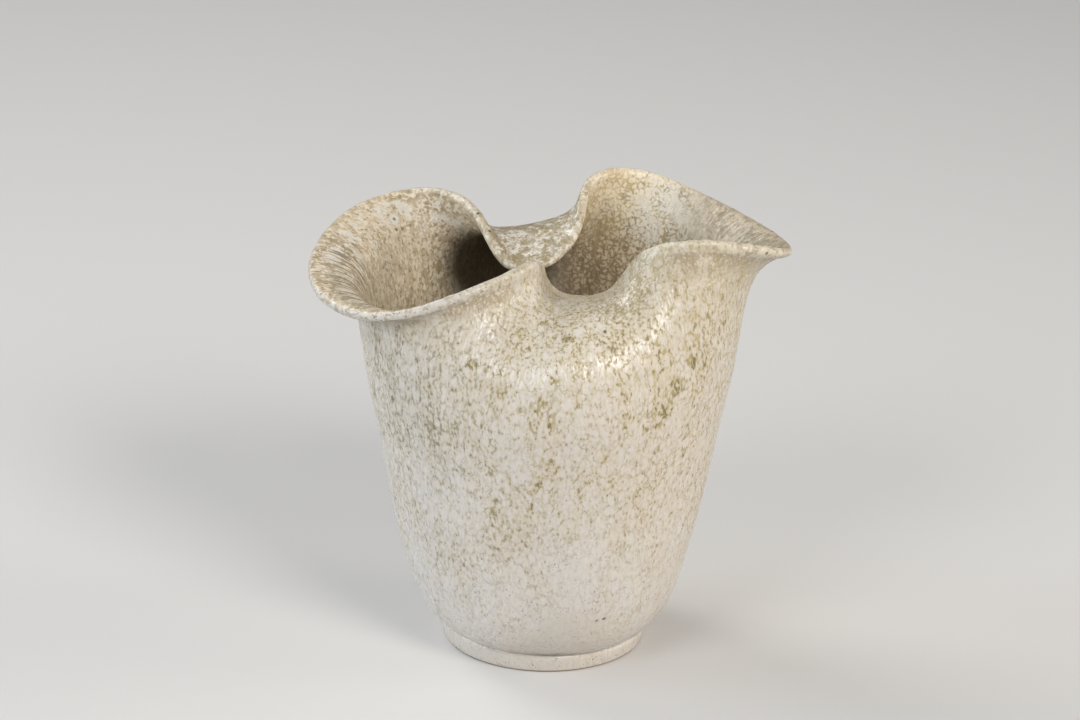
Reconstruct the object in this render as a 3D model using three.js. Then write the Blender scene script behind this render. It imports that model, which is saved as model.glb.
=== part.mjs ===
// A wheel-thrown stoneware vase with a folded mouth, in millimetres, +Z up, standing on Z = 0.
// A tapered cup is thrown on a turned foot. While its flared rim is still soft it is pushed in at the
// front and at the back, so that it folds into two spouts. The front is at -Y, the right at +X.
import * as THREE from "three";

// Foot: a low turned ring under the floor
const FOOT_RADIUS = 33.4;
const FOOT_HEIGHT = 6.6;
const FOOT_RING_WIDTH = 7;
const FOOT_EDGE_RADIUS = 1.3;
const FOOT_INSIDE_DRAFT = 1.5;

// Floor: the disc of clay that closes the cup, standing a little proud of the foot
const FLOOR_THICKNESS = 7;
const FLOOR_OVERHANG = 0.4;

// Cup: a straight flaring wall above a round belly, measured from the top of the foot
const CUP_HEIGHT = 85.4;
const CUP_RADIUS = 60;
const WALL_SLOPE = 11;
const WALL_THICKNESS = 5;
const BELLY_RISE = 41.4;
const BELLY_START_ANGLE = 28;
const BELLY_LOWER_REACH = 12;
const BELLY_UPPER_REACH = 22;

// Inside of the cup: the flat part of the floor, and the bend from there into the wall
const INSIDE_FLOOR_RADIUS = 25;
const INSIDE_BEND_RISE = 19;
const INSIDE_BEND_REACH = 12;

// Folded mouth: its height above the cup, how far its clay carries on straight up the cup wall before
// it bends, and its lip
const MOUTH_HEIGHT = 60;
const SHOULDER_REACH = 32;
const LIP_THICKNESS = 3.3;

// The folded mouth, station by station round the lip. Each row holds the direction on the cup below in
// degrees, then the bend and the lip, each as a direction, a distance from the axis in percent of the
// cup wall's radius and a height in percent of the mouth's. The folds push the lip far in and down.
const STATIONS = [
  // Right spout, from its tip to the back
  [-2, [-3, 108, 71.5], [-4, 139, 79]],
  [18, [18, 107, 61.5], [16, 133, 74]],
  [33, [33, 105, 60], [31, 125, 76]],
  [49, [49, 103.5, 58.5], [46, 122.5, 79]],
  [63, [64, 100, 60], [60, 117.5, 86]],
  // Back fold, from its right corner to its left corner
  [72, [75, 93, 63.5], [70.5, 100, 91]],
  [78, [80, 81, 65], [76, 81, 89]],
  [84, [82, 74, 75], [74, 61.5, 83.5]],
  [91, [86, 69.5, 82.5], [68, 39, 70]],
  [98, [99, 67, 84], [107, 15, 58.5]],
  [105, [109, 69.5, 79], [141, 34, 56.5]],
  [111, [116, 74, 70], [136, 49.5, 68.5]],
  [117, [120, 77.5, 61.5], [130, 65, 76]],
  [124, [123, 89.5, 60], [126, 88, 79]],
  // Left spout, from the back to the front
  [131, [127, 103.5, 55], [128, 107, 79]],
  [138, [132, 108.5, 60], [132, 124.5, 76]],
  [147, [143, 110.5, 61.5], [142, 135.5, 72.5]],
  [158, [156, 110.5, 61.5], [155, 138.5, 70]],
  [178, [178, 108.5, 58.5], [178, 139, 65]],
  [196, [196, 107, 56.5], [195, 138.5, 60]],
  [212, [212, 102.5, 58.5], [211, 128, 57.5]],
  [227, [227, 93, 60], [226.5, 115, 65]],
  [239, [239, 82.5, 60], [238, 96.5, 76.5]],
  // Front fold, from its left corner to its right corner
  [250, [250, 65, 58.5], [248.5, 73, 81]],
  [259, [261.5, 61.5, 56.5], [262, 50.5, 87.5]],
  [266, [266.5, 62.5, 60], [260, 35, 71.5]],
  [274, [274, 70.5, 70], [274, 23.5, 56]],
  [284, [285.5, 75.5, 77.5], [319, 28, 51.5]],
  [294, [297, 80, 76], [326, 46, 60]],
  [302, [303, 83.5, 71], [320, 61, 84]],
  [309, [309, 88, 68.5], [320, 76.5, 95]],
  [317, [317, 93, 70], [322, 91.5, 99]],
  // Right spout, from the front to its tip
  [326, [325, 101, 71.5], [327, 102.5, 101]],
  [335, [335, 102.5, 73.5], [335, 114, 96]],
  [346, [346, 103.5, 73.5], [346, 126, 88.5]],
];

// Facets
const TURNED_SEGMENTS = 64;
const CURVE_POINTS = 10;
const EDGE_POINTS = 2;
const COLUMNS_PER_STATION = 3;
const COLLAR_ROWS = 16;
const LIP_ARC_STEPS = 4;

const radians = THREE.MathUtils.degToRad;
const floorTop = FOOT_HEIGHT + FLOOR_THICKNESS;
const cupTop = FOOT_HEIGHT + CUP_HEIGHT;
const upWall = new THREE.Vector2(Math.sin(radians(WALL_SLOPE)), Math.cos(radians(WALL_SLOPE)));
const wallRadiusAt = (height) => CUP_RADIUS - ((cupTop - height) * upWall.x) / upWall.y;

// Outside of floor and cup, from below: a belly that turns up from the foot into the straight wall.
function outsideOutline() {
  const bellyTop = FOOT_HEIGHT + BELLY_RISE;
  const start = new THREE.Vector2(FOOT_RADIUS + FLOOR_OVERHANG, FOOT_HEIGHT);
  const end = new THREE.Vector2(wallRadiusAt(bellyTop), bellyTop);
  const angle = radians(BELLY_START_ANGLE);
  const leaving = new THREE.Vector2(Math.cos(angle), Math.sin(angle)).multiplyScalar(BELLY_LOWER_REACH);
  const arriving = upWall.clone().multiplyScalar(BELLY_UPPER_REACH);
  const belly = new THREE.CubicBezierCurve(start, leaving.add(start), end.clone().sub(arriving), end);
  return [...belly.getPoints(CURVE_POINTS), new THREE.Vector2(CUP_RADIUS, cupTop)];
}

// Inside of the cup, from below: off the flat floor through a wide bend into the straight wall.
function insideOutline() {
  const bendTop = floorTop + INSIDE_BEND_RISE;
  const start = new THREE.Vector2(INSIDE_FLOOR_RADIUS, floorTop);
  const end = new THREE.Vector2(wallRadiusAt(bendTop) - WALL_THICKNESS, bendTop);
  const leaving = new THREE.Vector2(INSIDE_FLOOR_RADIUS + INSIDE_BEND_REACH, floorTop);
  const arriving = upWall.clone().multiplyScalar(-INSIDE_BEND_REACH).add(end);
  const bend = new THREE.CubicBezierCurve(start, leaving, arriving, end);
  return [...bend.getPoints(CURVE_POINTS), new THREE.Vector2(CUP_RADIUS - WALL_THICKNESS, cupTop)];
}

// The stretch of a rising outline between two heights, with its ends cut exactly there.
function between(outline, low, high) {
  const cutAt = (height) => {
    const next = Math.max(outline.findIndex((point) => point.y >= height), 1);
    const below = outline[next - 1];
    const above = outline[next];
    return new THREE.Vector2().lerpVectors(below, above, (height - below.y) / (above.y - below.y));
  };
  const inner = outline.filter((point) => point.y > low && point.y < high);
  return [cutAt(low), ...inner, cutAt(high)];
}

// A solid of revolution about the Z axis from a profile of (radius, height) points, outside upwards.
function turned(profile) {
  return new THREE.LatheGeometry(profile, TURNED_SEGMENTS).rotateX(Math.PI / 2);
}

function footRing() {
  const inner = FOOT_RADIUS - FOOT_RING_WIDTH;
  const shoulder = FOOT_RADIUS - FOOT_EDGE_RADIUS;
  const section = new THREE.Path()
    .moveTo(inner, 0)
    .lineTo(shoulder, 0)
    .absarc(shoulder, FOOT_EDGE_RADIUS, FOOT_EDGE_RADIUS, -Math.PI / 2, 0)
    .absarc(shoulder, FOOT_HEIGHT - FOOT_EDGE_RADIUS, FOOT_EDGE_RADIUS, 0, Math.PI / 2)
    .lineTo(inner - FOOT_INSIDE_DRAFT, FOOT_HEIGHT)
    .lineTo(inner, 0);
  return turned(section.getPoints(EDGE_POINTS));
}

function floorDisc(outside) {
  const underside = new THREE.Vector2(0, FOOT_HEIGHT);
  const top = new THREE.Vector2(0, floorTop);
  return turned([underside, ...between(outside, FOOT_HEIGHT, floorTop), top]);
}

function cupWall(outside, inside) {
  const outer = between(outside, floorTop, cupTop);
  return turned([...outer, ...inside.toReversed(), outer[0]]);
}

// A point from its distance to the axis, its direction in degrees and its height.
function polar(radius, direction, height) {
  const angle = radians(direction);
  return new THREE.Vector3(radius * Math.cos(angle), radius * Math.sin(angle), height);
}

// The value of a closed cubic B-spline at a place counted in stations.
function splined(values, place) {
  const count = values.length;
  const first = Math.floor(place);
  const f = place - first;
  const weights = [(1 - f) ** 3, 3 * f ** 3 - 6 * f ** 2 + 4, 3 * (f + f ** 2 - f ** 3) + 1, f ** 3];
  const sum = new THREE.Vector3();
  weights.forEach((weight, k) => {
    sum.addScaledVector(values[(first + k - 1 + count) % count], weight / 6);
  });
  return sum;
}

// The middle surface of the folded mouth, with Z = 0 on the cup's edge: a function that gives the
// point at a place round the lip, counted in stations, and a share of the way up from edge to lip.
// Each way up is a Bezier curve that leaves the cup along its wall and bends over into the lip.
function collarMiddle() {
  const count = STATIONS.length;
  const middleRadius = CUP_RADIUS - WALL_THICKNESS / 2;
  const ring = (column) => STATIONS.map((station) => {
    const [direction, out, up] = station[column];
    return polar((middleRadius * out) / 100, direction, (MOUTH_HEIGHT * up) / 100);
  });
  const bend = ring(1);
  const lip = ring(2);
  const evenTurn = 360 / count;
  const rootShift = STATIONS.map(([root], i) => new THREE.Vector3(root - i * evenTurn, 0, 0));
  return (place, share) => {
    const round = (place + count) % count;
    const root = splined(rootShift, round).x + round * evenTurn;
    return new THREE.CubicBezierCurve3(
      polar(middleRadius, root, 0),
      polar(middleRadius + upWall.x * SHOULDER_REACH, root, upWall.y * SHOULDER_REACH),
      splined(bend, round),
      splined(lip, round),
    ).getPoint(share);
  };
}

// The clay's section at one place round the lip: up the outside, over the round lip, down the inside.
function collarSection(middle, place) {
  const near = 0.02;
  const outer = [];
  const lip = [];
  const inner = [];
  for (let row = 0; row <= COLLAR_ROWS; row++) {
    const share = row / COLLAR_ROWS;
    const centre = middle(place, share);
    const round = middle(place + near, share).sub(middle(place - near, share));
    const rising = middle(place, Math.min(share + near, 1)).sub(middle(place, Math.max(share - near, 0)));
    const outward = round.clone().cross(rising);
    if (row === 0) outward.z = 0;
    outward.normalize();
    const half = THREE.MathUtils.lerp(WALL_THICKNESS, LIP_THICKNESS, share) / 2;
    outer.push(centre.clone().addScaledVector(outward, half));
    inner.unshift(centre.clone().addScaledVector(outward, -half));
    if (row < COLLAR_ROWS) continue;
    const beyond = outward.clone().cross(round).normalize();
    for (let step = 1; step < LIP_ARC_STEPS; step++) {
      const angle = (Math.PI * step) / LIP_ARC_STEPS;
      const point = centre.clone().addScaledVector(outward, half * Math.cos(angle));
      lip.push(point.addScaledVector(beyond, half * Math.sin(angle)));
    }
  }
  return [...outer, ...lip, ...inner];
}

// The folded mouth: its sections joined into one closed skin, flat where it stands on the cup.
function foldedCollar() {
  const middle = collarMiddle();
  const columns = STATIONS.length * COLUMNS_PER_STATION;
  const sections = Array.from({ length: columns }, (_, i) => collarSection(middle, i / COLUMNS_PER_STATION));
  const points = sections[0].length;
  const faces = [];
  for (let column = 0; column < columns; column++) {
    const here = column * points;
    const next = ((column + 1) % columns) * points;
    for (let point = 0; point < points; point++) {
      const after = (point + 1) % points;
      faces.push(here + point, next + point, next + after);
      faces.push(here + point, next + after, here + after);
    }
  }
  const geometry = new THREE.BufferGeometry().setFromPoints(sections.flat());
  geometry.setIndex(faces);
  geometry.computeVertexNormals();
  return geometry;
}

const vase = new THREE.Group();

function add(name, geometry, color, roughness) {
  const mesh = new THREE.Mesh(geometry, new THREE.MeshStandardMaterial({ color, roughness, metalness: 0 }));
  mesh.name = name;
  vase.add(mesh);
  return mesh;
}

const outside = outsideOutline();
const inside = insideOutline();
add("foot_ring", footRing(), "#d6cbb8", 0.5);
add("floor_disc", floorDisc(outside), "#dbd3c4", 0.4);
add("cup_wall", cupWall(outside, inside), "#dcd5c7", 0.3);
add("folded_collar", foldedCollar(), "#cfc2ab", 0.3).position.z = cupTop;

export default vase;
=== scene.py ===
from functools import lru_cache
from math import atan2, cos, pi, radians, sin, tan, tau

import bmesh
import bpy
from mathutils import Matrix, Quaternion, Vector, noise
from mathutils.geometry import interpolate_bezier


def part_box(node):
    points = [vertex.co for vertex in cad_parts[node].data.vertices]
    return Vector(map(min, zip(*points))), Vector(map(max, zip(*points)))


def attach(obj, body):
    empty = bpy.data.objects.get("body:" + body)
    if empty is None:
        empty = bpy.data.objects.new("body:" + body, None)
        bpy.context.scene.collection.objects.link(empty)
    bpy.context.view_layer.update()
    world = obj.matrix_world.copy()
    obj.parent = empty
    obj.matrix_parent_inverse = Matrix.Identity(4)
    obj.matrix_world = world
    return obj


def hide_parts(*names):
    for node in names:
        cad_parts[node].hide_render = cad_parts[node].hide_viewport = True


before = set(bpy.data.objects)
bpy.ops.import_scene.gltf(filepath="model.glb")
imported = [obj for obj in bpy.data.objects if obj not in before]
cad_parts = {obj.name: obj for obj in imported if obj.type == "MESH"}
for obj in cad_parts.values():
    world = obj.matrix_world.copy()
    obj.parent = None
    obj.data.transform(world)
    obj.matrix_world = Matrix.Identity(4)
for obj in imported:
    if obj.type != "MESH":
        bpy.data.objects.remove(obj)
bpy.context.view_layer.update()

scene = bpy.context.scene
scene.view_settings.view_transform = "Standard"
MM = 0.001

# Camera: a long lens above the mouth, far enough away that the vase is drawn almost without
# perspective, aimed at the middle of the wall and tilted a little about its own axis.
EYE = Vector((0, -1452.4, 671.1)) * MM
AIM = Vector((-3.1, 0, 98.4)) * MM
TILT = radians(1.25)
camera = bpy.data.objects.new("camera", bpy.data.cameras.new("camera"))
camera.data.lens = 157
camera.data.sensor_width = 36
camera.location = EYE
camera.rotation_mode = "QUATERNION"
camera.rotation_quaternion = (AIM - EYE).to_track_quat("-Z", "Y") @ Quaternion((0, 0, 1), TILT)
scene.collection.objects.link(camera)
scene.camera = camera

# Vessel: the thrown body, floor, wall and mouth in one piece of stoneware. It is thrown as a cup with
# a straight collar, and while the collar is soft its rim is flared, pushed in at the front and at the
# back, and so folded into two spouts. A satin cream glaze with a dark speckle covers it inside and out.
CUP_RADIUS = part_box("cup_wall")[1].x
CUP_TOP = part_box("cup_wall")[1].z
FLOOR_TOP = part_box("floor_disc")[1].z
FOOT_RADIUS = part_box("foot_ring")[1].x
FOOT_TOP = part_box("foot_ring")[1].z
WALL_SLOPE = radians(11)
WALL_THICKNESS = 5 * MM
LIP_THICKNESS = 3.3 * MM
LIP_BEAD = 5 * MM
BELLY_TOP = FOOT_TOP + 41.4 * MM
BELLY_ANGLE = radians(26.3)
FOOT_SLANT = 0.7 * MM
SLANT_REACH = 24 * MM
CREASE_IN = 0.7 * MM
CREASE_DOWN = 0.8 * MM
NECK_IN = 0.4 * MM
BEND_TOP = FLOOR_TOP + 19 * MM
INSIDE_FLOOR_RADIUS = 25 * MM
RECESS_RADIUS = 26 * MM
MOUTH_HEIGHT = 60 * MM
SHOULDER_REACH = 32 * MM
MIDDLE_RADIUS = CUP_RADIUS - WALL_THICKNESS / 2
COLUMNS_PER_STATION = 16
SAME_PLACE = 1e-7

# The folded mouth, station by station round the lip. Each row holds the direction on the cup below in
# degrees, then the bend and the lip, each as a direction, a distance from the axis in percent of the
# cup wall's radius and a height in percent of the mouth's.
STATIONS = [
    # Right spout, from its tip to the back
    (-2, (-3, 108, 71.5), (-4, 139, 79)),
    (18, (18, 107, 61.5), (16, 133, 74)),
    (33, (33, 105, 60), (31, 125, 76)),
    (49, (49, 103.5, 58.5), (46, 122.5, 79)),
    (63, (64, 100, 60), (60, 117.5, 86)),
    # Back fold, from its right corner to its left corner
    (72, (75, 93, 63.5), (70.5, 100, 91)),
    (78, (80, 81, 65), (76, 81, 89)),
    (84, (82, 74, 75), (74, 61.5, 83.5)),
    (91, (86, 69.5, 82.5), (68, 39, 70)),
    (98, (99, 67, 84), (107, 15, 58.5)),
    (105, (109, 69.5, 79), (141, 34, 56.5)),
    (111, (116, 74, 70), (136, 49.5, 68.5)),
    (117, (120, 77.5, 61.5), (130, 65, 76)),
    (124, (123, 89.5, 60), (126, 88, 79)),
    # Left spout, from the back to the front
    (131, (127, 103.5, 55), (128, 107, 79)),
    (138, (132, 108.5, 60), (132, 124.5, 76)),
    (147, (143, 110.5, 61.5), (142, 135.5, 72.5)),
    (158, (156, 110.5, 61.5), (155, 138.5, 70)),
    (178, (178, 108.5, 58.5), (178, 139, 65)),
    (196, (196, 107, 56.5), (195, 138.5, 60)),
    (212, (212, 102.5, 58.5), (211, 128, 57.5)),
    (227, (227, 93, 60), (226.5, 115, 65)),
    (239, (239, 82.5, 60), (238, 96.5, 76.5)),
    # Front fold, from its left corner to its right corner
    (250, (250, 65, 58.5), (248.5, 73, 81)),
    (259, (261.5, 61.5, 56.5), (262, 50.5, 87.5)),
    (266, (266.5, 62.5, 60), (260, 35, 71.5)),
    (274, (274, 70.5, 70), (274, 23.5, 56)),
    (284, (285.5, 75.5, 77.5), (319, 28, 51.5)),
    (294, (297, 80, 76), (326, 46, 60)),
    (302, (303, 83.5, 71), (320, 61, 84)),
    (309, (309, 88, 68.5), (320, 76.5, 95)),
    (317, (317, 93, 70), (322, 91.5, 99)),
    # Right spout, from the front to its tip
    (326, (325, 101, 71.5), (327, 102.5, 101)),
    (335, (335, 102.5, 73.5), (335, 114, 96)),
    (346, (346, 103.5, 73.5), (346, 126, 88.5)),
]


def polar(radius, direction, height):
    return Vector((radius * cos(direction), radius * sin(direction), height))


def splined(values, place):
    """The value of a closed cubic B-spline at a place counted in stations."""
    first = int(place)
    share = place - first
    weights = (
        (1 - share) ** 3,
        3 * share ** 3 - 6 * share ** 2 + 4,
        3 * (share + share ** 2 - share ** 3) + 1,
        share ** 3,
    )
    terms = (values[(first + number - 1) % len(values)] * (weight / 6)
             for number, weight in enumerate(weights))
    return sum(terms, start=values[0] * 0)


def lip_ring(column):
    rows = (station[column] for station in STATIONS)
    return [polar(MIDDLE_RADIUS * out / 100, radians(turn), CUP_TOP + MOUTH_HEIGHT * up / 100)
            for turn, out, up in rows]


EVEN_TURN = 360 / len(STATIONS)
bend_ring = lip_ring(1)
rim_ring = lip_ring(2)
root_shift = [station[0] - number * EVEN_TURN for number, station in enumerate(STATIONS)]


def root_direction(place):
    place = place % len(STATIONS)
    return radians(splined(root_shift, place) + place * EVEN_TURN)


@lru_cache(maxsize=None)
def way_up(place):
    """The Bezier curve that the clay follows at a place, from the cup's edge up to the lip."""
    place = place % len(STATIONS)
    root = root_direction(place)
    shoulder = MIDDLE_RADIUS + SHOULDER_REACH * sin(WALL_SLOPE)
    return (
        polar(MIDDLE_RADIUS, root, CUP_TOP),
        polar(shoulder, root, CUP_TOP + SHOULDER_REACH * cos(WALL_SLOPE)),
        splined(bend_ring, place),
        splined(rim_ring, place),
    )


def on_way(place, share):
    start, shoulder, bend, lip = way_up(place)
    rest = 1 - share
    return (start * rest ** 3 + shoulder * (3 * rest ** 2 * share)
            + bend * (3 * rest * share ** 2) + lip * share ** 3)


@lru_cache(maxsize=None)
def way_length(place):
    steps = 24
    points = [on_way(place, step / steps) for step in range(steps + 1)]
    return sum((after - before).length for before, after in zip(points, points[1:]))


def folded(place, out, up):
    """Where clay of the straight collar goes: out from its middle and up from the cup's edge."""
    near = 0.02
    share = min(up / MOUTH_HEIGHT, 1)
    around = on_way(place + near, share) - on_way(place - near, share)
    rising = on_way(place, min(share + near, 1)) - on_way(place, max(share - near, 0))
    outward = around.cross(rising)
    if share == 0:
        outward.z = 0
    outward.normalize()
    beyond = outward.cross(around).normalized()
    return on_way(place, share) + outward * out + beyond * max(up - MOUTH_HEIGHT, 0)


def wall_radius(height):
    return CUP_RADIUS - (CUP_TOP - height) * tan(WALL_SLOPE)


def straight(start, end, steps):
    return [start.lerp(end, step / steps) for step in range(steps + 1)]


def thrown_section():
    """The section of the straight pot, from the middle of its underside over the lip to its floor."""
    up_wall = Vector((sin(WALL_SLOPE), 0, cos(WALL_SLOPE)))
    off_foot = Vector((cos(BELLY_ANGLE), 0, sin(BELLY_ANGLE)))
    crease = Vector((FOOT_RADIUS - CREASE_IN, 0, FOOT_TOP - CREASE_DOWN))
    belly_top = Vector((wall_radius(BELLY_TOP), 0, BELLY_TOP))
    bend_top = Vector((wall_radius(BEND_TOP) - WALL_THICKNESS, 0, BEND_TOP))
    floor_edge = Vector((INSIDE_FLOOR_RADIUS, 0, FLOOR_TOP))
    recess_edge = Vector((RECESS_RADIUS, 0, FOOT_TOP))
    outer_edge = Vector((CUP_RADIUS, 0, CUP_TOP))
    inner_edge = Vector((CUP_RADIUS - WALL_THICKNESS, 0, CUP_TOP))
    lip_centre = Vector((MIDDLE_RADIUS, 0, CUP_TOP + MOUTH_HEIGHT))
    lip_out = Vector((LIP_THICKNESS / 2, 0, 0))
    lip_up = Vector((0, 0, LIP_THICKNESS / 2))
    neck = lip_centre + Vector((LIP_THICKNESS / 2 - NECK_IN, 0, -LIP_BEAD))
    lip_steps = 8
    lip_turns = [pi * step / lip_steps for step in range(lip_steps + 1)]
    lip = [lip_centre + lip_out * cos(turn) + lip_up * sin(turn) for turn in lip_turns]

    # How each of the curves leaves its first point and comes to its last
    off_crease = off_foot * 8 * MM
    below_belly_top = up_wall * 32.4 * MM
    above_neck = Vector((0, 0, 1.6 * MM))
    below_lip = Vector((0, 0, 2 * MM))
    below_bend_top = up_wall * 12 * MM
    beside_floor = Vector((12 * MM, 0, 0))
    outside = [
        straight(Vector((0, 0, FOOT_TOP)), recess_edge, 4),
        straight(recess_edge, crease, 2),
        interpolate_bezier(crease, crease + off_crease, belly_top - below_belly_top, belly_top, 28),
        straight(belly_top, outer_edge, 16),
        straight(outer_edge, neck, 34),
        interpolate_bezier(neck, neck + above_neck, lip[0] - below_lip, lip[0], 9),
    ]
    inside = [
        straight(lip[-1], inner_edge, 38),
        straight(inner_edge, bend_top, 16),
        interpolate_bezier(bend_top, bend_top - below_bend_top,
                           floor_edge + beside_floor, floor_edge, 10),
        straight(floor_edge, Vector((0, 0, FLOOR_TOP)), 5),
    ]
    joined = [[stretches[0][0]] + [point for stretch in stretches for point in stretch[1:]]
              for stretches in (outside, inside)]
    return joined[0] + lip[1:-1] + joined[1], [len(joined[0]), len(lip) - 2, len(joined[1])]


def spun(section, steps):
    """A closed skin of revolution about the Z axis. Each point keeps its row on the section."""
    mesh = bmesh.new()
    row_layer = mesh.verts.layers.int.new("row")
    points = [mesh.verts.new(point) for point in section]
    for row, point in enumerate(points):
        point[row_layer] = row
    edges = [mesh.edges.new(pair) for pair in zip(points, points[1:])]
    bmesh.ops.spin(mesh, geom=points + edges, cent=(0, 0, 0), axis=(0, 0, 1), angle=tau, steps=steps,
                   use_merge=True)
    bmesh.ops.remove_doubles(mesh, verts=mesh.verts, dist=SAME_PLACE)
    bmesh.ops.recalc_face_normals(mesh, faces=mesh.faces)
    return mesh


def slanted(point):
    """Where a point near the foot goes. The foot's upper edge was turned a little lower at the right."""
    share = min(point.z / FOOT_TOP, max(1 - (point.z - FOOT_TOP) / SLANT_REACH, 0))
    return point - Vector((0, 0, point.x / FOOT_RADIUS * FOOT_SLANT * share))


columns = len(STATIONS) * COLUMNS_PER_STATION
section, (outside_rows, lip_rows, _) = thrown_section()
vessel_mesh = spun(section, columns)
row_layer = vessel_mesh.verts.layers.int["row"]
thrown_layer = vessel_mesh.verts.layers.float_vector.new("thrown")
depth_layer = vessel_mesh.verts.layers.float.new("depth")
inside_layer = vessel_mesh.verts.layers.float.new("inside")
for vertex in vessel_mesh.verts:
    radius = vertex.co.xy.length
    height = vertex.co.z
    column = round(atan2(vertex.co.y, vertex.co.x) / tau * columns) % columns
    place = column / COLUMNS_PER_STATION
    root = root_direction(place)
    up = height - CUP_TOP
    out = radius - MIDDLE_RADIUS
    length = way_length(place)
    if up < SAME_PLACE:
        vertex.co = polar(radius, root, height)
        vertex[depth_layer] = length - up
    else:
        vertex.co = folded(place, out, up)
        vertex[depth_layer] = max(1 - up / MOUTH_HEIGHT, 0) * length
    over_lip = (vertex[row_layer] - outside_rows + 1) / (lip_rows + 1)
    vertex[inside_layer] = min(max(over_lip, 0), 1)
    vertex[thrown_layer] = polar(radius, root, CUP_TOP - vertex[depth_layer])
    if not vertex[inside_layer]:
        vertex.co = slanted(vertex.co)
bmesh.ops.recalc_face_normals(vessel_mesh, faces=vessel_mesh.faces)
vessel_mesh.normal_update()

# The clay and the glaze on it are a little uneven, in long waves and in a grain that is deepest at
# the lip
WAVE_SIZE = 22 * MM
WAVE_HEIGHT = 0.3 * MM
GRAIN_SIZE = 3.5 * MM
GRAIN_HEIGHT = 0.05 * MM
LIP_GRAIN_HEIGHT = 0.16 * MM
LIP_GRAIN_REACH = 6 * MM
shifts = []
for vertex in vessel_mesh.verts:
    at_lip = max(1 - vertex[depth_layer] / LIP_GRAIN_REACH, 0)
    unevenness = noise.noise(vertex.co / WAVE_SIZE) * WAVE_HEIGHT
    unevenness += noise.noise(vertex.co / GRAIN_SIZE) * (GRAIN_HEIGHT + LIP_GRAIN_HEIGHT * at_lip)
    shifts.append(vertex.normal * unevenness)
for vertex, shift in zip(vessel_mesh.verts, shifts):
    vertex.co += shift
vessel_mesh.normal_update()


def added(name, mesh):
    """An object of a finished mesh, smooth all over."""
    for face in mesh.faces:
        face.smooth = True
    data = bpy.data.meshes.new(name)
    mesh.to_mesh(data)
    mesh.free()
    piece = bpy.data.objects.new(name, data)
    scene.collection.objects.link(piece)
    return piece


vessel = added("vessel", vessel_mesh)


class Wire:
    """A socket of a material. Sums and products add Math nodes for values, Vector Math for the rest."""

    def __init__(self, tree, socket):
        self.tree = tree
        self.socket = socket

    def node(self, kind, settings=None, sockets=None, output=0):
        made = self.tree.nodes.new("ShaderNode" + kind)
        for name, value in (settings or {}).items():
            setattr(made, name, value)
        for name, value in (sockets or {}).items():
            if isinstance(value, Wire):
                self.tree.links.new(value.socket, made.inputs[name])
            else:
                made.inputs[name].default_value = value
        return Wire(self.tree, made.outputs[output])

    def combined(self, operation, first, second):
        is_vector = any(isinstance(term, tuple) or isinstance(term, Wire) and term.socket.type != "VALUE"
                        for term in (first, second))
        if is_vector:
            first, second = [(term,) * 3 if isinstance(term, (int, float)) else term
                             for term in (first, second)]
        kind = "VectorMath" if is_vector else "Math"
        return self.node(kind, {"operation": operation}, {0: first, 1: second})

    def __add__(self, other):
        return self.combined("ADD", self, other)

    __radd__ = __add__

    def __mul__(self, other):
        return self.combined("MULTIPLY", self, other)

    __rmul__ = __mul__

    def __sub__(self, other):
        return self.combined("SUBTRACT", self, other)

    def __rsub__(self, other):
        return self.combined("SUBTRACT", other, self)

    def step(self, low, high):
        """0 at low, 1 at high, smooth between them. Low may be the larger one."""
        turned = low > high
        sockets = {"Value": self, "From Min": min(low, high), "From Max": max(low, high),
                   "To Min": float(turned), "To Max": float(not turned)}
        return self.node("MapRange", {"interpolation_type": "SMOOTHSTEP"}, sockets)

    def mixed(self, first, second):
        """The first colour where this is 0, the second where it is 1."""
        first, second = [(*term, 1) if isinstance(term, tuple) else term for term in (first, second)]
        return self.node("Mix", {"data_type": "RGBA"}, {0: self, 6: first, 7: second}, 2)

    def noise(self, size, detail=2.0, roughness=0.5, output=0):
        """Soft noise whose spots are about this far apart."""
        sockets = {"Vector": self, "Scale": 1 / size, "Detail": detail, "Roughness": roughness}
        return self.node("TexNoise", None, sockets, output)

    def cells(self, size, feature, output):
        sockets = {"Vector": self, "Scale": 1 / size, "Randomness": 1.0}
        return self.node("TexVoronoi", {"feature": feature}, sockets, output)


def new_material(name):
    material = bpy.data.materials.new(name)
    material.use_nodes = True
    shader = material.node_tree.nodes["Principled BSDF"]
    return material, shader, Wire(material.node_tree, None)


# Blotches where the ground shows, each a point in millimetres, a radius and a soft edge
BLOTCHES = [
    ((-24.5, -52.6, 117), 0.8, 1.5),
    ((-2.7, -59.8, 107), 2, 2.5),
    ((0.7, -57.9, 114.4), 1, 1.2),
    ((41.5, -45, 108.5), 2.2, 2.2),
    ((38, -48, 101), 2, 2.5),
    ((45.5, -40.5, 115), 1.6, 2),
    ((6, -50, 126), 1.2, 2),
    ((24, -54, 109), 1, 1.6),
    ((30, -51, 96), 1.2, 2),
]

# Single dark specks, and pinholes of which the first is the largest, as points in millimetres
SPECKS = [
    (19.9, -40.9, 23.4),
    (17.6, -41.9, 23),
    (17.6, -47.1, 127.4),
    (69.4, -19.8, 145.2),
    (-25, 29.6, 139),
    (-20.7, 21.8, 135.5),
]
PINHOLES = [(-53.4, 41.1, 132), (-52.4, 38.4, 129.3), (-50.7, 40.1, 128.9)]


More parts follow.
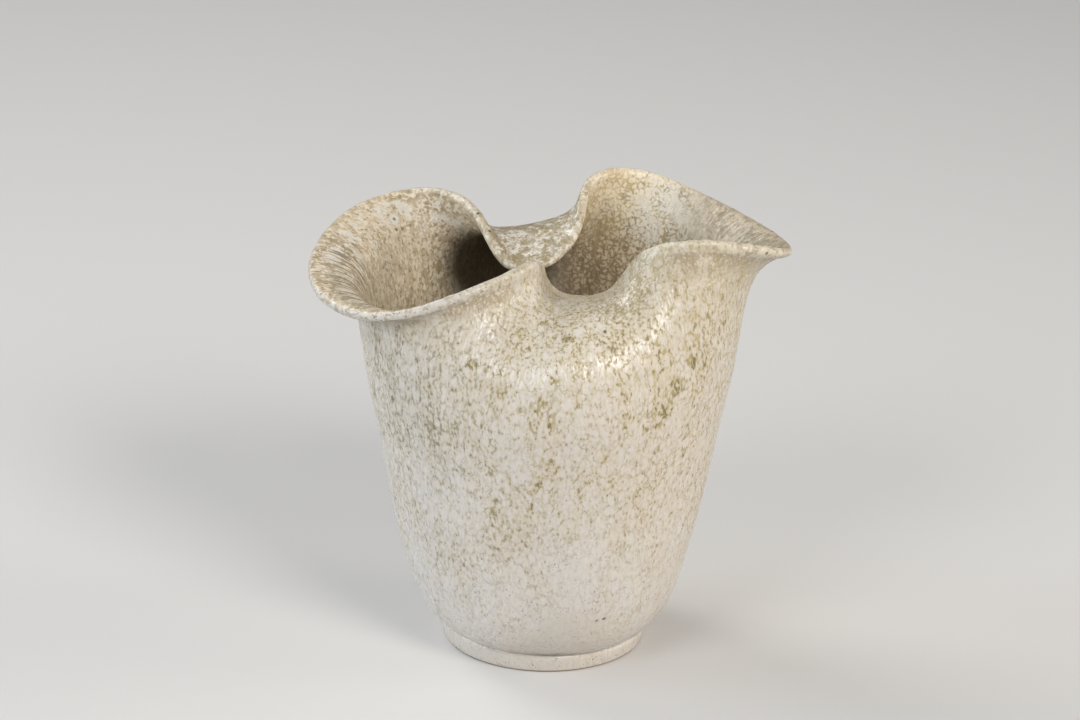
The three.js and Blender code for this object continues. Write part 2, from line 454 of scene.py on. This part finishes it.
def glaze(name):
    """The speckled cream glaze."""
    material, shader, wire = new_material(name)
    place = wire.node("TexCoord", None, None, "Object")
    thrown = wire.node("Attribute", {"attribute_name": "thrown"}, None, "Vector")
    depth = wire.node("Attribute", {"attribute_name": "depth"}, None, "Fac")
    inside = wire.node("Attribute", {"attribute_name": "inside"}, None, "Fac")
    across, back, height = (place.node("SeparateXYZ", None, {"Vector": place}, axis) for axis in "XYZ")
    outside = 1 - inside
    left = across.step(10 * MM, -10 * MM)
    front = back.step(4 * MM, -14 * MM)

    def around(centre, radius, soft):
        """1 within a radius of a point in millimetres, 0 beyond the soft edge round it."""
        offset = place - tuple(length * MM for length in centre)
        away = offset.node("VectorMath", {"operation": "LENGTH"}, {0: offset}, "Value")
        return away.step((radius + soft) * MM, radius * MM)

    cool_cream = (0.65, 0.612, 0.572)
    warm_cream = (0.66, 0.595, 0.51)
    painted_light_cream = (0.72, 0.66, 0.57)
    bright = (0.70, 0.668, 0.625)
    light_tan = (0.545, 0.475, 0.37)
    ochre = (0.44, 0.355, 0.18)
    olive_ochre = (0.40, 0.32, 0.15)
    grey_ochre = (0.37, 0.335, 0.265)
    olive_grey = (0.17, 0.155, 0.11)
    olive_brown = (0.15, 0.125, 0.055)
    brown = (0.20, 0.15, 0.085)
    pocket_shade_brown = (0.045, 0.032, 0.016)

    # The cream glaze lies thinly near the mouth, in spots here and there, in a few blotches and on the
    # folds. It lies thickly low on the wall, to which it ran down, and on the foot
    thickness = (place * (1, 1, 0.35)).noise(9 * MM, 3)
    low = depth.step(75 * MM, 135 * MM) * outside
    top = depth.step(70 * MM, 20 * MM) * outside
    on_foot = depth.step(130 * MM, 142 * MM) * outside
    ridge = inside.step(0.95, 0.85) * around((-4, 28, 131), 17, 12)
    fold_front = around((22, -30, 138), 8, 12) * front * outside
    # The trough below the front fold, where painted light makes the cream paler
    painted_light_trough = around((10, -42, 124), 12, 14) * front * outside
    thin_spot = (place * (1, 1, 0.7)).noise(4.5 * MM, 2).step(0.56, 0.76) * (1 - low)
    burst = sum(around(*blotch) for blotch in BLOTCHES)
    cover = (thickness - 0.5) * 0.65 + 0.06 + low * 0.13 + on_foot * 0.2 - top * 0.14
    cover = cover - thin_spot * 0.3 - burst * 0.3 - ridge * 0.45 - fold_front * 0.1

    # Cream islands, with gaps between them where the ground shows
    bent = place + (place.noise(3.2 * MM, 3, output=1) - 0.5) * (3.4 * MM)
    drawn = bent * (1, 1, 0.6)
    edge = drawn.cells(2.9 * MM, "DISTANCE_TO_EDGE", "Distance")
    island = drawn.cells(2.9 * MM, "F1", "Color")
    breaks = (place * (1, 1, 0.5)).noise(0.85 * MM, 2.5)
    pile = edge * 1.4 + (breaks - 0.5) * 1.75 + cover
    white = pile.step(-0.22, 0.14)
    bare = pile.step(-0.05, -0.4)

    # Rounder blobs inside the right spout, on the ridge of the back fold and near the lip
    near_lip = depth.step(34 * MM, 12 * MM) * (0.35 + across.step(34 * MM, 52 * MM) * 0.3)
    blobby = ridge * 0.4 + top * near_lip
    swayed = place + (place.noise(2.2 * MM, 2, output=1) - 0.5) * (2 * MM)
    blob_edge = swayed.cells(2.1 * MM, "DISTANCE_TO_EDGE", "Distance")
    merged = (place.noise(6 * MM, 3) - 0.5) * 1.3
    blob_pile = blob_edge * 1.7 + (place.noise(0.8 * MM, 2) - 0.5) * 1.2 + merged
    warm_corner = around((8, 49, 134), 7, 14) + around((20, 56, 147), 4, 8)
    parted = depth.step(42 * MM, 14 * MM) * 0.31 - 0.20 - warm_corner * 0.22
    blob = (blob_pile + inside * parted).step(-0.14, 0.34)
    white = white + (blob - white) * blobby
    bare = bare * (1 - blobby * 0.4)

    # Cream, warmer at the right and tan near the mouth, over an ochre ground with dark flecks
    tone = island.node("SeparateColor", None, {"Color": island}, "Red")
    warmth = tone * 0.5 + thickness.step(0.62, 0.36) * 0.5 + across.step(-20 * MM, 45 * MM) * 0.5
    cream = (warmth - low * 0.5).mixed(cool_cream, warm_cream)
    tan_wash = place.noise(8 * MM, 3).step(0.36, 0.60)
    # In the trough below the front fold the tan wash is left out and the cream is made paler: painted
    # light
    cream = (top * (0.12 + tan_wash * 0.38) * (1 - painted_light_trough)).mixed(cream, light_tan)
    cream = (painted_light_trough * 0.5).mixed(cream, painted_light_cream)
    grey_share = across.step(5 * MM, -45 * MM) * 0.7 + low * 0.6
    ground = (burst * 0.7).mixed(grey_share.mixed(ochre, grey_ochre), olive_ochre)
    cream = (pile.step(0.5, 0.1) * 0.25 * (1 - blobby)).mixed(cream, ground)
    ground = (ridge * 0.7).mixed(ground, (0.31, 0.24, 0.12))
    fleck = place.noise(4 * MM, 1).step(0.4, 0.6).mixed(olive_grey, brown)
    fleck = burst.mixed(fleck, olive_brown)
    open_ground = (place * (1, 1, 0.5)).noise(2.2 * MM, 3).step(0.48, 0.60)
    gap = (bare * (0.85 - open_ground * 0.7)).mixed(ground, fleck)
    colour = white.mixed(gap, cream)

    # Thin dark lines along the edges of smaller islands, broken here and there
    fine_edge = (swayed * (1, 1, 0.7)).cells(2.4 * MM, "DISTANCE_TO_EDGE", "Distance")
    unbroken = ((place * (1, 1, 0.6)).noise(2.4 * MM, 3) + fold_front * 0.12).step(0.52, 0.62)
    line = fine_edge.step(0.10, 0.03) * unbroken * outside * (1 - low * 0.6)
    line_colour = grey_share.mixed((0.30, 0.24, 0.125), (0.28, 0.255, 0.205))
    colour = (line * (0.5 + fold_front * 0.3)).mixed(colour, line_colour)

    # Dense dark flecks on the front fold, and larger brown and white patches on the back one
    scratch = (bent * (1, 1, 0.8)).noise(1 * MM, 3, 0.6).step(0.52, 0.60)
    colour = (fold_front * scratch * 0.6).mixed(colour, (0.25, 0.21, 0.15))
    ridge_patch = place.noise(3.2 * MM, 4, 0.6)
    colour = (ridge * ridge_patch.step(0.52, 0.46) * 0.75).mixed(colour, (0.27, 0.21, 0.105))
    colour = (ridge * ridge_patch.step(0.55, 0.60) * 0.75).mixed(colour, (0.72, 0.68, 0.60))

    # Faint lines in the glaze, down which it ran
    drip = (thrown * (1, 1, 0.07)).noise(1.3 * MM, 2)
    colour = (drip.step(0.5, 0.7) * 0.25 * outside).mixed(colour, bright)

    # Inside the right spout the blobs are pale and the ground is olive near the lip, browner deeper down.
    # One corner is tan, and the tip is mottled and darker: its dark mottle is partly glaze, partly
    # painted shade
    pale = depth.step(14 * MM, 42 * MM).mixed((0.82, 0.725, 0.56), (0.78, 0.645, 0.46))
    # Round one spot on the back wall the blobs are whiter still: partly paler glaze, partly a painted
    # highlight
    pale = (around((40, 46, 129), 8, 14) * 0.7).mixed(pale, (0.75, 0.725, 0.665))
    between = place.noise(5 * MM, 1).step(0.45, 0.62).mixed((0.37, 0.305, 0.19), (0.48, 0.39, 0.18))
    between = depth.step(15 * MM, 40 * MM).mixed(between, (0.40, 0.305, 0.19))
    spots = blob.mixed(between, pale)
    spots = (warm_corner * (0.62 - blob * 0.42)).mixed(spots, (0.66, 0.50, 0.295))
    shaded_tip = across.step(34 * MM, 58 * MM)
    tip_mottle_and_shade = place.noise(2.4 * MM, 4, 0.65).step(0.43, 0.56)
    spots = (shaded_tip * 0.9).mixed(spots, tip_mottle_and_shade.mixed((0.23, 0.18, 0.11), (0.42, 0.345, 0.245)))
    colour = (inside * (1 - left)).mixed(colour, spots)

    # Inside the left spout it is a beige wash with fine pale dabs and olive flecks that follow the flow,
    # and with white patches near the lip
    flow = place + (thrown - place) * 0.6
    wash = place.noise(4 * MM, 3).step(0.40, 0.60).mixed((0.55, 0.45, 0.31), (0.42, 0.325, 0.195))
    wash = (around((-57, 28, 123), 10, 16) * 0.3).mixed(wash, (0.74, 0.62, 0.45))
    # Three spots, the left tip among them, are duller and darker: partly the glaze, partly painted shade
    dull_and_shaded = around((-74, 4, 132), 10, 16) + around((-40, 48, 132), 3, 9) + around((-66, -30, 128), 5, 9)
    wash = (dull_and_shaded * 0.45).mixed(wash, (0.30, 0.24, 0.16))
    dab = (flow * (1, 1, 0.85)).noise(1.2 * MM, 3, 0.6) - 0.5 + (place.noise(3 * MM, 2) - 0.5) * 0.6
    wash = dab.step(-0.09, 0.13).mixed(wash, (0.71, 0.62, 0.48))
    olive_fleck = (flow * (1, 1, 0.75)).noise(1.1 * MM, 3, 0.6).step(0.54, 0.64)
    wash = (olive_fleck * 0.8).mixed(wash, (0.25, 0.20, 0.125))
    patch_zone = depth.step(24 * MM, 10 * MM) * depth.step(1.5 * MM, 4 * MM) * (1 - front)
    patch = place.noise(5 * MM, 5, 0.65).step(0.51, 0.55) * patch_zone
    wash = (patch * 0.8).mixed(wash, (0.70, 0.665, 0.60))
    colour = (inside * left).mixed(colour, wash)

    # Pinholes in the back of the left spout, with white glaze drawn up round the largest
    colour = (around(PINHOLES[0], 1.4, 1) * inside * 0.8).mixed(colour, bright)
    for pinhole in PINHOLES:
        colour = (around(pinhole, 0.35, 0.5) * inside * 0.8).mixed(colour, (0.16, 0.12, 0.07))

    # Under the front lip are tan bands with fine pale dots: the clay burning through thin glaze, and
    # painted shade beneath the overhanging lip
    left_band = across.step(-54 * MM, -44 * MM) * across.step(-6 * MM, -18 * MM)
    right_band = across.step(26 * MM, 42 * MM)
    band_and_shade = depth.step(16 * MM, 6 * MM) * depth.step(1.4 * MM, 3 * MM) * (left_band + right_band)
    band_and_shade = outside * front * band_and_shade * place.noise(7 * MM, 2).step(0.34, 0.56)
    dots = place.noise(0.9 * MM, 1).step(0.54, 0.66)
    band_and_shade_colour = dots.mixed((0.36, 0.285, 0.18), (0.60, 0.53, 0.41))
    colour = (band_and_shade * (0.75 - dots * 0.3)).mixed(colour, band_and_shade_colour)

    # Thin streaks that run down the inside of the spouts from their tips
    left_tip = around((-74, -8, 132), 20, 16) + around((-60, -28, 127), 8, 12)
    right_tip = around((68, 14, 138), 16, 14) * 0.8
    streak_noise = (thrown * (1, 1, 0.06)).noise(0.75 * MM, 2)
    streak_zone = depth.step(2 * MM, 6 * MM) * depth.step(48 * MM, 26 * MM) * inside
    streak_zone = streak_zone * (0.08 + (left_tip + right_tip) * 0.92)
    streak_zone = streak_zone * (0.5 + place.noise(6 * MM, 2).step(0.35, 0.55) * 0.5)
    streak = streak_noise.step(0.49, 0.58) * streak_zone
    pale_streak = streak_noise.step(0.46, 0.38) * streak_zone
    colour = (streak * 0.85).mixed(colour, (0.19, 0.155, 0.10))
    colour = (pale_streak * 0.7).mixed(colour, left.mixed((0.50, 0.45, 0.36), (0.66, 0.60, 0.49)))

    # White glaze stands on the front lip in lumps, with brown pin specks on it, most of them at the left,
    # and a painted shadow line beneath it at the left
    wider_at_right = across.step(30 * MM, 72 * MM) * (2 * MM)
    wider_at_left = across.step(-20 * MM, -60 * MM) * (1.6 * MM)
    lip_width = 0.8 * MM + wider_at_right + wider_at_left
    ragged = (place.noise(2.5 * MM, 3) - 0.5) * (2.4 * MM)
    over_lip = (inside + ragged * 60).step(0.85, 0.65)
    lip = (depth - lip_width + ragged).step(0.3 * MM, -0.3 * MM) * over_lip * front
    lumps = place.noise(2.4 * MM, 3).step(0.38, 0.52)
    lip_white = lumps.mixed((0.42, 0.35, 0.26), left.mixed((0.71, 0.64, 0.50), (0.60, 0.57, 0.515)))
    lip_share = across.step(-14 * MM, -34 * MM) * 0.75 + across.step(36 * MM, 64 * MM) * 0.65 + 0.1
    colour = (lip * lip_share).mixed(colour, lip_white)
    lip_speck = place.noise(1.1 * MM, 2).step(0.58, 0.66) * place.noise(7 * MM, 1).step(0.40, 0.55)
    colour = (lip * lip_speck * (0.25 + left * 0.6)).mixed(colour, brown)
    # A painted shadow line under the lip at the left
    under_lip_shadow = inside.step(0.22, 0.08) * depth.step(3 * MM, 2 * MM) * around((-58, -41, 127), 8, 8)
    colour = (under_lip_shadow * 0.75).mixed(colour, brown)

    # Deep inside the colour darkens to a dark brown, and in the left spout's pocket beside the back fold
    # it is darker still: partly thin brown glaze, partly painted shade
    colour = (inside * depth.step(32 * MM, 72 * MM) * 0.85).mixed(colour, (0.085, 0.06, 0.034))
    colour = (inside * around((-16, 46, 115), 15, 8) * 0.93).mixed(colour, pocket_shade_brown)

    # Specks of iron in loose clusters, most of them low on the wall and the foot, and a few larger ones
    near_ground = height.step(4.5 * MM, 2 * MM)
    cluster = place.noise(3.5 * MM, 3).step(0.50, 0.58) * (0.35 + low * 0.65) + near_ground * 0.5
    speckle = (place * (1, 1, 0.8)).noise(0.6 * MM, 2).step(0.60, 0.67) * cluster * outside
    colour = (speckle * 0.75).mixed(colour, (0.22, 0.20, 0.155))
    speck_cell = place.cells(5 * MM, "F1", "Color")
    rare = speck_cell.node("SeparateColor", None, {"Color": speck_cell}, "Green").step(0.5, 0.55)
    pin = place.cells(5 * MM, "F1", "Distance").step(0.065, 0.03) * rare
    for speck in SPECKS:
        pin = pin + around(speck, 0.4, 0.5)
    colour = (pin * 0.85).mixed(colour, (0.085, 0.068, 0.045))

    # The foot's glaze is thinner, and the clay is bare where the vase stands
    colour = (on_foot * 0.5 * (1 - speckle)).mixed(colour, (0.56, 0.505, 0.43))
    colour = height.step(0.9 * MM, 0.5 * MM).mixed(colour, (0.34, 0.265, 0.19))

    # The islands are smoother than the gaps and stand a little above them. The glaze ripples as it ran
    roughness = 0.48 - white * 0.24 + inside * 0.16
    ripple = (thrown * (1, 1, 0.35)).noise(1.7 * MM, 1)
    relief = white * 0.08 - streak * 0.05 + ripple * 0.4 + drip * 0.25
    bump = relief.node("Bump", None, {"Height": relief, "Strength": 1.0, "Distance": 1 * MM})
    links = material.node_tree.links
    links.new(colour.socket, shader.inputs["Base Color"])
    links.new(roughness.socket, shader.inputs["Roughness"])
    links.new(bump.socket, shader.inputs["Normal"])
    return material


vessel.data.materials.append(glaze("speckled_glaze"))
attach(vessel, "root")
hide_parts("floor_disc", "cup_wall", "folded_collar")

# Foot: the ring turned out of the thick base once it is leather hard. It has the same glaze, thinner,
# on its outside, and is wiped bare where it stands, so the clay shows underneath.
FOOT_RING_WIDTH = 7 * MM
FOOT_EDGE = 0.8 * MM
FOOT_SHOULDER = 1.6 * MM
FOOT_FLARE = 1.2 * MM
FLARE_DOWN = 0.4 * MM
UNDER_FLOOR = 1.2 * MM
CORNER_ROUNDNESS = 0.55
BELLY_ROW = 10
hidden_edge = Vector((RECESS_RADIUS - UNDER_FLOOR, 0, FOOT_TOP))
inner_bottom = Vector((FOOT_RADIUS - FOOT_RING_WIDTH, 0, 0))
outer_bottom = Vector((FOOT_RADIUS, 0, 0))
outer_top = Vector((FOOT_RADIUS + FOOT_FLARE, 0, FOOT_TOP - FLARE_DOWN))
settled = Vector((FOOT_RADIUS, 0, FOOT_TOP))
before_belly = section[BELLY_ROW - 1]
on_belly = section[BELLY_ROW]


def rounded(before, corner, after, size, steps):
    """A corner of the section, cut off by this size on both sides and rounded."""
    start = corner + (before - corner).normalized() * size
    end = corner + (after - corner).normalized() * size
    after_start = start.lerp(corner, CORNER_ROUNDNESS)
    before_end = end.lerp(corner, CORNER_ROUNDNESS)
    return interpolate_bezier(start, after_start, before_end, end, steps)


foot_section = [hidden_edge]
foot_section += rounded(hidden_edge, inner_bottom, outer_bottom, FOOT_EDGE, 4)
foot_section += rounded(inner_bottom, outer_bottom, outer_top, FOOT_EDGE, 6)
foot_section += rounded(outer_bottom, outer_top, settled, FOOT_SHOULDER, 8)
# A soft hollow leads from the shoulder of the foot up the belly, which it touches
shoulder_end = foot_section[-1]
into_hollow = shoulder_end + (shoulder_end - outer_top).normalized() * 0.9 * MM
out_of_hollow = on_belly + (before_belly - on_belly).normalized() * 1.6 * MM
foot_section += interpolate_bezier(shoulder_end, into_hollow, out_of_hollow, on_belly, 10)[1:]
foot_section.append(hidden_edge)
foot_mesh = spun(foot_section, 360)
foot_thrown = foot_mesh.verts.layers.float_vector.new("thrown")
foot_depth = foot_mesh.verts.layers.float.new("depth")
for vertex in foot_mesh.verts:
    vertex.co = slanted(vertex.co)
    vertex[foot_thrown] = vertex.co
    vertex[foot_depth] = CUP_TOP + MOUTH_HEIGHT - vertex.co.z
foot = added("foot", foot_mesh)
foot.data.materials.append(glaze("foot_glaze"))
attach(foot, "root")
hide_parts("foot_ring")

# Studio: a plain pale floor that runs out of view, five soft lights round the vase and a white room.
# They light the vase at a plain level and are not part of it.
LAMP_DISTANCE = 2.6
LAMP_SPREAD = radians(60)
ROOM_LIGHT = 0.26
floor_mesh = bmesh.new()
bmesh.ops.create_grid(floor_mesh, x_segments=1, y_segments=1, size=6)
floor = added("studio_floor", floor_mesh)
floor_material, floor_shader, _ = new_material("pale_floor")
floor_shader.inputs["Base Color"].default_value = (0.62, 0.61, 0.60, 1)
floor_shader.inputs["Roughness"].default_value = 0.9
floor.data.materials.append(floor_material)


def softbox(name, azimuth, elevation, width, watts, colour):
    """A square light aimed at the vase, with a grid that keeps most of its light off the floor."""
    lamp = bpy.data.lights.new(name, "AREA")
    lamp.shape = "SQUARE"
    lamp.size = width
    lamp.spread = LAMP_SPREAD
    lamp.energy = watts
    lamp.color = colour
    light = bpy.data.objects.new(name, lamp)
    across = LAMP_DISTANCE * cos(radians(elevation))
    above = LAMP_DISTANCE * sin(radians(elevation))
    light.location = AIM + polar(across, radians(azimuth), above)
    light.rotation_mode = "QUATERNION"
    light.rotation_quaternion = (AIM - light.location).to_track_quat("-Z", "Y")
    scene.collection.objects.link(light)


softbox("right_softbox", 305, 36, 1.0, 4.75, (1, 0.965, 0.91))
softbox("low_right_softbox", 0, 15, 1.2, 3.22, (1, 0.94, 0.87))
softbox("left_softbox", 180, 15, 1.2, 3.65, (0.73, 0.87, 1))
softbox("front_left_softbox", 235, 36, 1.2, 3, (0.94, 0.97, 1))
softbox("back_left_softbox", 140, 35, 1.2, 3.76, (1, 0.98, 0.95))

world = bpy.data.worlds.new("room")
world.use_nodes = True
world.node_tree.nodes["Background"].inputs["Color"].default_value = (1, 1, 1, 1)
world.node_tree.nodes["Background"].inputs["Strength"].default_value = ROOM_LIGHT
scene.world = world

bpy.context.view_layer.update()
